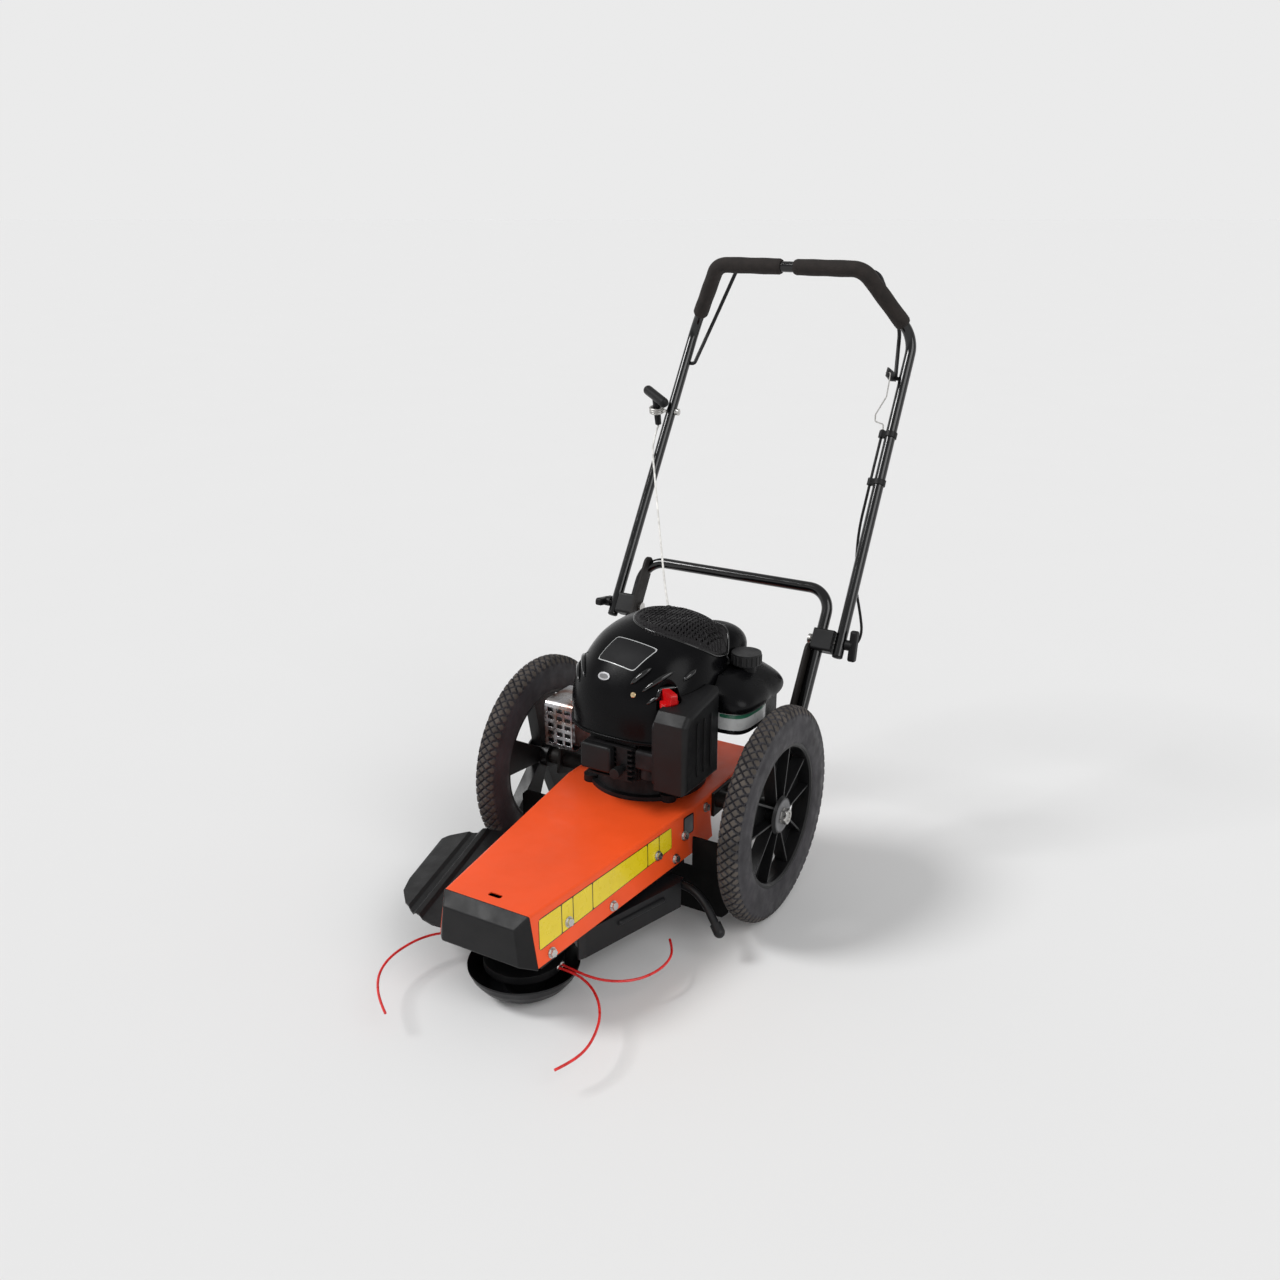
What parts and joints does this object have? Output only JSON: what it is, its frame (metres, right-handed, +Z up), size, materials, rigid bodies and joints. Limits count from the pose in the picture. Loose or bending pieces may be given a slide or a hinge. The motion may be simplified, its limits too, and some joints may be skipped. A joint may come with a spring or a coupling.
{
  "type": "walk-behind brush mower",
  "caption": "High-wheel push brush mower: spinning string head under a tapered deck nose, petrol engine, folding tube handle with a hold-down bail.",
  "frame": {"origin": "the centre of the ground disc's foot, on the ground in the middle plane, straight below the string head", "axes": "+Z up, the nose points to -Y and the push handle to +Y, +X is the right side seen from in front"},
  "size_m": [0.5448, 1.1462, 1.0074],
  "materials": {
    "orange_paint": "gloss",
    "black_paint": "satin",
    "gloss_black_paint": "gloss",
    "black_moulding": "matte",
    "rim_plastic": "satin",
    "shroud_plastic": "gloss",
    "screen_plastic": "matte",
    "tank_plastic": "semi-gloss",
    "cap_plastic": "matte",
    "red_plastic": "gloss",
    "tyre_rubber": "matte",
    "flap_rubber": "matte",
    "belt_rubber": "matte",
    "foam": "matte",
    "zinc_steel": "satin",
    "bail_paint": "satin",
    "disc_steel": "satin",
    "cast_aluminium": "cast",
    "guard_steel": "heat-stained",
    "muffler_steel": "dull",
    "plug_ceramic": "satin",
    "cable_plastic": "satin",
    "rope_fibre": "braided",
    "line_nylon": "semi-gloss"
  },
  "bodies": {
    "chassis": {"belt_cover": "orange_paint", "bumper": "black_moulding", "deck_frame": "black_paint", "deck_pan": "black_paint", "debris_shield": "black_moulding", "rear_flap": "flap_rubber", "guide_arm": "black_paint", "cover_bolts": "zinc_steel", "stub_axles": "zinc_steel", "lower_handle": "gloss_black_paint", "clamp_blocks": "black_moulding", "fold_bolts": "zinc_steel", "side_frame_left": "black_paint", "side_frame_right": "black_paint", "spindle_housing": "black_paint", "spindle_bearings": "zinc_steel", "drive_belt": "belt_rubber", "blower_housing": "shroud_plastic", "starter_screen": "screen_plastic", "engine_sump": "cast_aluminium", "engine_block": "cast_aluminium", "cylinder_head": "cast_aluminium", "rocker_cover": "black_moulding", "spark_plug": "plug_ceramic", "carburetor": "cast_aluminium", "air_cleaner_cover": "black_moulding", "fuel_tank": "tank_plastic", "muffler": "muffler_steel", "muffler_guard": "guard_steel", "filler_tube": "black_moulding", "starter_rope": "rope_fibre", "control_cable": "cable_plastic"},
    "left_wheel": {"tyre_left": "tyre_rubber", "rim_left": "rim_plastic", "hub_bushes_left": "zinc_steel"},
    "right_wheel": {"tyre_right": "tyre_rubber", "rim_right": "rim_plastic", "hub_bushes_right": "zinc_steel"},
    "upper_handle": {"upper_handle_tube": "gloss_black_paint", "foam_grips": "foam", "cable_clips": "black_moulding", "rope_guide": "zinc_steel"},
    "bail": {"bail_rod": "bail_paint"},
    "left_knob": {"clamp_knob_left": "black_moulding"},
    "right_knob": {"clamp_knob_right": "black_moulding"},
    "starter_pull": {"starter_grip": "black_moulding"},
    "crank": {"crankshaft": "zinc_steel", "drive_pulley": "zinc_steel", "flywheel": "cast_aluminium"},
    "head": {"spindle": "zinc_steel", "driven_pulley": "zinc_steel", "ground_disc": "disc_steel", "line_hub": "black_moulding", "line_left": "line_nylon", "line_rear": "line_nylon", "line_right": "line_nylon"},
    "idler": {"idler_arm": "black_paint"},
    "idler_wheel": {"idler_pulley": "black_moulding"},
    "fuel_cap": {"fuel_cap": "cap_plastic"},
    "oil_cap": {"dipstick": "red_plastic"}
  },
  "joints": [
    {"name": "left_wheel_spin", "type": "hinge", "parent": "chassis", "child": "left_wheel", "pos_m": [-0.2273, 0.379, 0.1778], "axis": [1, 0, 0], "continuous": true},
    {"name": "right_wheel_spin", "type": "hinge", "parent": "chassis", "child": "right_wheel", "pos_m": [0.2273, 0.379, 0.1778], "axis": [1, 0, 0], "continuous": true},
    {"name": "handle_fold", "type": "hinge", "parent": "chassis", "child": "upper_handle", "pos_m": [0, 0.633, 0.388], "axis": [1, 0, 0], "range_deg": [0, 118], "deforming": ["control_cable", "starter_rope"]},
    {"name": "bail_swing", "type": "hinge", "parent": "upper_handle", "child": "bail", "pos_m": [0, 0.89, 0.806], "axis": [1, 0, 0], "range_deg": [0, 12], "stiffness_Nm_per_rad": 3, "springref_deg": -8.59},
    {"name": "left_knob_turn", "type": "hinge", "parent": "chassis", "child": "left_knob", "pos_m": [-0.246, 0.633, 0.388], "axis": [1, 0, 0], "continuous": true},
    {"name": "right_knob_turn", "type": "hinge", "parent": "chassis", "child": "right_knob", "pos_m": [0.246, 0.633, 0.388], "axis": [1, 0, 0], "continuous": true},
    {"name": "starter_pull_slide", "type": "slide", "parent": "upper_handle", "child": "starter_pull", "axis": [0.012, -0.1999, 0.9797], "range_m": [0, 0.5], "stiffness_N_per_m": 10, "springref_m": -0.3},
    {"name": "crank_spin", "type": "hinge", "parent": "chassis", "child": "crank", "pos_m": [0, 0.367, 0.15], "axis": [0, 0, 1], "continuous": true},
    {"name": "head_spin", "type": "hinge", "parent": "chassis", "child": "head", "pos_m": [0, 0, 0.15], "axis": [0, 0, 1], "continuous": true},
    {"name": "idler_swing", "type": "hinge", "parent": "chassis", "child": "idler", "pos_m": [0.06, 0.092, 0.136], "axis": [0, 0, 1], "range_deg": [0, 4.4]},
    {"name": "idler_wheel_spin", "type": "hinge", "parent": "idler", "child": "idler_wheel", "pos_m": [0.0735, 0.182, 0.15], "axis": [0, 0, 1], "continuous": true},
    {"name": "fuel_cap_turn", "type": "hinge", "parent": "chassis", "child": "fuel_cap", "pos_m": [0.146, 0.429, 0.41], "axis": [0, 0, 1], "continuous": true},
    {"name": "oil_cap_turn", "type": "hinge", "parent": "chassis", "child": "oil_cap", "pos_m": [0.093, 0.27, 0.38], "axis": [0, 0, 1], "continuous": true}
  ],
  "couplings": [
    {"joint": "head_spin", "follows": "crank_spin", "ratio": 0.64},
    {"joint": "idler_swing", "follows": "bail_swing", "ratio": 0.3666}
  ]
}
